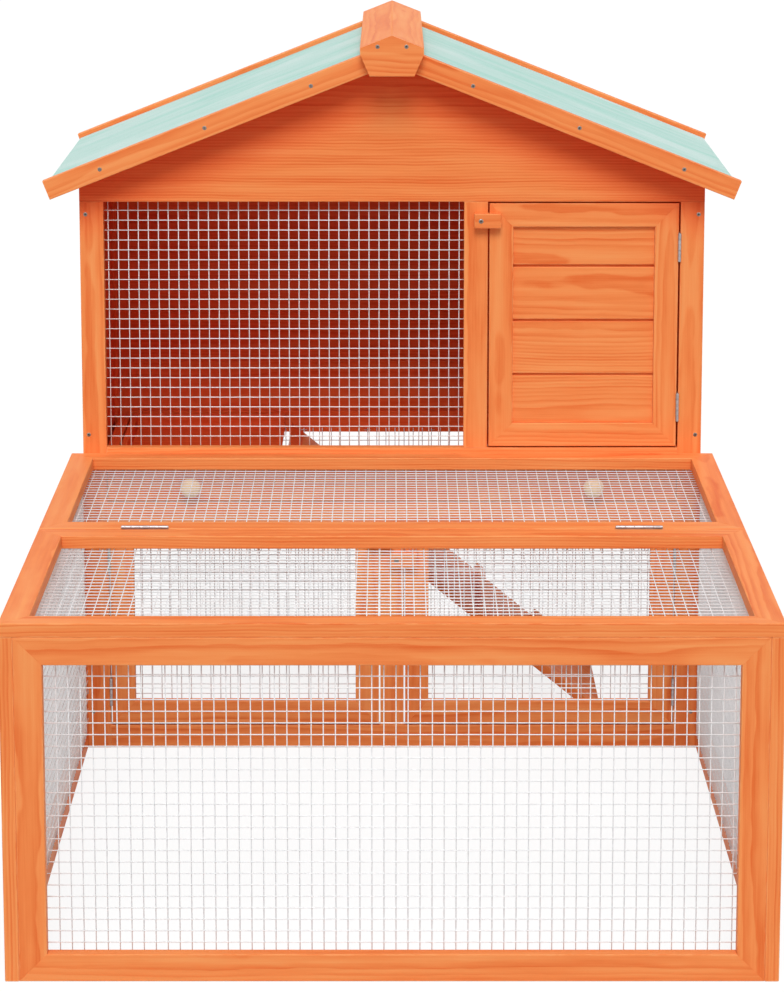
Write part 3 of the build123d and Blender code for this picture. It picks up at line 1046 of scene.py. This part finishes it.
class HUTCH_OT_knobs(bpy.types.Operator):
    """Turned knobs of the tray, in bare wood"""

    bl_idname = "hutch.knobs"
    bl_label = "Knobs"

    def execute(self, context):
        name = "tray_knobs"
        low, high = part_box(name)
        reach = high.y - low.y
        radius = (high.z - low.z) / 2
        profile = [
            (0.000, 0.52), (0.045, 0.54), (0.12, 0.53), (0.19, 0.57), (0.26, 0.69), (0.34, 0.84),
            (0.43, 0.95), (0.53, 1.00), (0.63, 0.985), (0.73, 0.91), (0.83, 0.77), (0.91, 0.58),
            (0.965, 0.36), (0.99, 0.18), (1.00, 0.04),
        ]
        shape = Shape()
        draw = random.Random(name)
        outward = Vector((0.0, -1.0, 0.0))
        for x in (low.x + radius, high.x - radius):
            base = Vector((x, high.y, (low.z + high.z) / 2))
            turned = [(a * reach, r * radius) for a, r in profile]
            first = len(shape.points)
            add_lathe(shape, base, outward, turned, 40)
            # The figure runs across the knob, so that rings show on its face
            log = Vector((draw.uniform(0, 40), 0.004, 0.016))
            for point in shape.points[first:]:
                shape.places.append(Vector((point.z - base.z, point.x - base.x, point.y - base.y)))
                shape.spans.append(Vector((1.0, 1.0, 1.0)))
                shape.logs.append(log)
        put("tray_knobs_turned", shape.mesh(name, 60), "tray", pale_wood(), [name])
        return {"FINISHED"}


class HUTCH_OT_ramp(bpy.types.Operator):
    """Ramp and its cleats"""

    bl_idname = "hutch.ramp"
    bl_label = "Ramp"

    def execute(self, context):
        make_boards("ramp_board")
        make_boards("ramp_cleats")
        return {"FINISHED"}


class HUTCH_OT_roof_timber(bpy.types.Operator):
    """Roof boards, barge boards and ridge"""

    bl_idname = "hutch.roof_timber"
    bl_label = "Roof timber"

    def execute(self, context):
        for name in (
            "left_roof_boards",
            "right_roof_boards",
            "front_barge_boards",
            "back_barge_boards",
            "ridge_boards",
            "ridge_end_plates",
        ):
            make_boards(name)
        plates = bpy.data.objects["ridge_end_plates_timber"].data
        back = max(v.co.y for v in plates.vertices)
        for v in plates.vertices:
            if v.co.y > back - 0.002:
                v.co.y -= RIDGE_TRIM
        return {"FINISHED"}


class HUTCH_OT_felt(bpy.types.Operator):
    """Mineral felt on both slopes"""

    bl_idname = "hutch.felt"
    bl_label = "Felt"

    def execute(self, context):
        for name in ("left_roof_felt", "right_roof_felt"):
            draw = random.Random(name)
            shape = Shape()
            for solid in solids_of(name):
                axes = self.slope_axes(solid)
                round_arrises(solid, Vector((0, 1, 0)), 0.0005, 0.0003)
                shape.add_board(solid, axes, draw)
            body = nodes[name]["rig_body"]
            put(f"{name}_sheet", shape.mesh(name), body, mineral_felt(), [name])
        return {"FINISHED"}

    def slope_axes(self, solid):
        """Down the slope, along the roof, and out of it."""
        widest = max(solid.faces, key=lambda face: round(face.calc_area(), 7))
        out = widest.normal.copy()
        if out.z < 0:
            out.negate()
        level = Vector((0, 1, 0))
        return level.cross(out), level, out


class HUTCH_OT_nets(bpy.types.Operator):
    """Welded wire nets, with the staples that hold them"""

    bl_idname = "hutch.nets"
    bl_label = "Nets"

    def execute(self, context):
        for name in sorted(nodes):
            if name.endswith("_net"):
                wires, thin = make_net(name)
                make_staples(name, wires, thin)
        return {"FINISHED"}


class HUTCH_OT_hinges(bpy.types.Operator):
    """Hinges of the lid and the doors, with knuckles on a pin"""

    bl_idname = "hutch.hinges"
    bl_label = "Hinges"

    knuckles = 5
    barrel = 0.0020
    leaf = 0.0010
    into_gap = 0.0130
    end_play = 0.0003
    comb_root = 0.0024
    comb_tip = 0.0006
    chamfer = 0.00025
    leaf_face = 0.0001
    # The pin's head: how far past the hinge its end and its shoulder are, and their radii
    pin_end, pin_shoulder = (0.0006, 0.0006), (0.0004, 0.0011)

    def execute(self, context):
        fixed = Shape()
        for joint in joints.values():
            name = f"{joint['child']}_hinge_leaves"
            if name not in nodes:
                continue
            moving = Shape()
            for solid in solids_of(name):
                self.add_hinge(solid, joint, fixed, moving)
                solid.free()
            mesh = moving.mesh(name, 35)
            put(f"{name}_plates", mesh, joint["child"], metal("Zinc plate"), [name])
        mesh = fixed.mesh("fixed_hinge_leaves", 35)
        zinc = metal("Zinc plate")
        put("fixed_hinge_plates", mesh, "hutch", zinc, ["fixed_hinge_leaves"])
        return {"FINISHED"}

    def add_hinge(self, solid, joint, fixed, moving):
        """Both halves of one hinge, from the CAD solid of its moving leaf."""
        corners = [v.co for v in solid.verts]
        low, high = extents(corners)
        axis = Vector([abs(c) for c in joint["axis"]])
        middle = (low + high) / 2
        pivot = Vector(joint["pos_m"])
        pivot += axis * (middle - pivot).dot(axis)
        length = (high - low).dot(axis)
        gap = Vector((0, 0, -1)) if axis.x > 0.5 else Vector((0, 1, 0))
        sideways = axis.cross(gap)
        # The moving leaf is on this side of the pivot's plane
        deep = [c for c in corners if (c - pivot).dot(gap) > 1.5 * self.barrel]
        side = math.copysign(1.0, sum((c - pivot).dot(sideways) for c in deep))
        start = pivot - axis * length / 2
        share = length / self.knuckles
        for shape, first, way in ((fixed, 0, -side), (moving, 1, side)):
            comb = [(0.0, self.into_gap), (0.0, self.comb_root)]
            for k in range(self.knuckles):
                near = k * share + (self.end_play / 2 if k else 0.0)
                far = (k + 1) * share - (self.end_play / 2 if k < self.knuckles - 1 else 0.0)
                if k % 2 != first:
                    continue
                comb += [(near, self.comb_root), (near, self.comb_tip)]
                comb += [(far, self.comb_tip), (far, self.comb_root)]
                profile = [
                    (near, self.barrel - self.chamfer),
                    (near + self.chamfer, self.barrel),
                    (far - self.chamfer, self.barrel),
                    (far, self.barrel - self.chamfer),
                ]
                add_lathe(shape, start, axis, profile, 20)
            comb += [(length, self.comb_root), (length, self.into_gap)]
            comb = [p for i, p in enumerate(comb) if p != comb[i - 1]]
            axes = (axis, gap, way * sideways)
            add_prism(shape, start, axes, comb, self.leaf_face, self.leaf_face + self.leaf)
        (end, end_radius), (shoulder, pin_radius) = self.pin_end, self.pin_shoulder
        pin = [(-end, end_radius), (-shoulder, pin_radius)]
        pin += [(length + shoulder, pin_radius), (length + end, end_radius)]
        add_lathe(fixed, start, axis, pin, 16)


class HUTCH_OT_screws(bpy.types.Operator):
    """Screw heads of the posts, the barge boards, the ridge and the turn buttons"""

    bl_idname = "hutch.screws"
    bl_label = "Screws"

    post_heights = (0.699, 0.415, 0.048)
    post_inset = 0.0075
    barge_places = (0.364, 0.233, 0.1006)
    barge_inset = 0.0125
    ridge_place = (0.0178, 0.916)
    proud = 0.0003
    button_head = 0.0030
    button_dome = 0.0008

    def execute(self, context):
        radius = context.scene.hutch_metal.screw_radius
        draw = random.Random("screws")
        forward, backward = Vector((0, -1, 0)), Vector((0, 1, 0))
        groups = {"post_screws": [], "barge_screws": [], "ridge_screws": []}
        low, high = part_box("front_corner_posts")
        back_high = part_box("back_frame")[1]
        for side in (-1, 1):
            for z in self.post_heights:
                x = side * (high.x - self.post_inset)
                groups["post_screws"] += [
                    (Vector((x, low.y, z)), forward),
                    (Vector((x, back_high.y, z)), backward),
                ]
        barge_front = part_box("front_barge_boards")[0].y
        barge_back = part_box("back_barge_boards")[1].y
        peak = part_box("front_barge_boards")[1].z
        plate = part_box("ridge_end_plates")
        ridge_x, ridge_z = self.ridge_place
        for side in (-1, 1):
            for x in self.barge_places:
                z = peak - x * math.tan(ROOF_SLOPE) - self.barge_inset / math.cos(ROOF_SLOPE)
                groups["barge_screws"] += [
                    (Vector((side * x, barge_front, z)), forward),
                    (Vector((side * x, barge_back, z)), backward),
                ]
            groups["ridge_screws"] += [
                (Vector((side * ridge_x, plate[0].y, ridge_z)), forward),
                (Vector((side * ridge_x, plate[1].y - RIDGE_TRIM, ridge_z)), backward),
            ]
        for name, screws in groups.items():
            shape = Shape()
            for place, outward in screws:
                add_screw(shape, place, outward, radius, self.proud, draw.uniform(0.0, 1.5))
            put(name, shape.mesh(name, 30), "hutch", metal("Dark zinc"))
        shape, dome = Shape(), self.button_dome
        for solid in solids_of("turn_button_screws"):
            low, high = extents([v.co for v in solid.verts])
            place = Vector(((low.x + high.x) / 2, low.y + dome, (low.z + high.z) / 2))
            add_screw(shape, place, forward, self.button_head, dome, draw.uniform(0.0, 1.5))
            solid.free()
        mesh = shape.mesh("button_screws", 30)
        put("button_screws", mesh, "hutch", metal("Dark zinc"), ["turn_button_screws"])
        return {"FINISHED"}


class HUTCH_PT_panel(bpy.types.Panel):
    """The hutch's pieces, sizes and colours"""

    bl_label = "Rabbit hutch"
    bl_space_type = "VIEW_3D"
    bl_region_type = "UI"
    bl_category = "Hutch"

    def draw(self, context):
        for operator in OPERATORS:
            self.layout.operator(operator.bl_idname)
        for name, group in SETTINGS.items():
            box = self.layout.box()
            box.label(text=group.__doc__)
            for key in group.__annotations__:
                box.prop(getattr(context.scene, name), key)


SETTINGS = {
    "hutch_timber": HutchTimber,
    "hutch_metal": HutchMetal,
    "hutch_roof": HutchRoof,
    "hutch_stage": HutchStage,
}
OPERATORS = [
    HUTCH_OT_stage,
    HUTCH_OT_run,
    HUTCH_OT_house_front,
    HUTCH_OT_walls,
    HUTCH_OT_doors,
    HUTCH_OT_turn_buttons,
    HUTCH_OT_tray,
    HUTCH_OT_knobs,
    HUTCH_OT_ramp,
    HUTCH_OT_roof_timber,
    HUTCH_OT_felt,
    HUTCH_OT_nets,
    HUTCH_OT_hinges,
    HUTCH_OT_screws,
]


def register():
    for name, group in SETTINGS.items():
        bpy.utils.register_class(group)
        setattr(bpy.types.Scene, name, PointerProperty(type=group))
    for cls in (*OPERATORS, HUTCH_PT_panel):
        bpy.utils.register_class(cls)


def unregister():
    for cls in reversed((*OPERATORS, HUTCH_PT_panel)):
        bpy.utils.unregister_class(cls)
    for name, group in SETTINGS.items():
        delattr(bpy.types.Scene, name)
        bpy.utils.unregister_class(group)


def main():
    register()
    for operator in OPERATORS:
        family, verb = operator.bl_idname.split(".")
        getattr(getattr(bpy.ops, family), verb)()


if __name__ == "__main__":
    main()
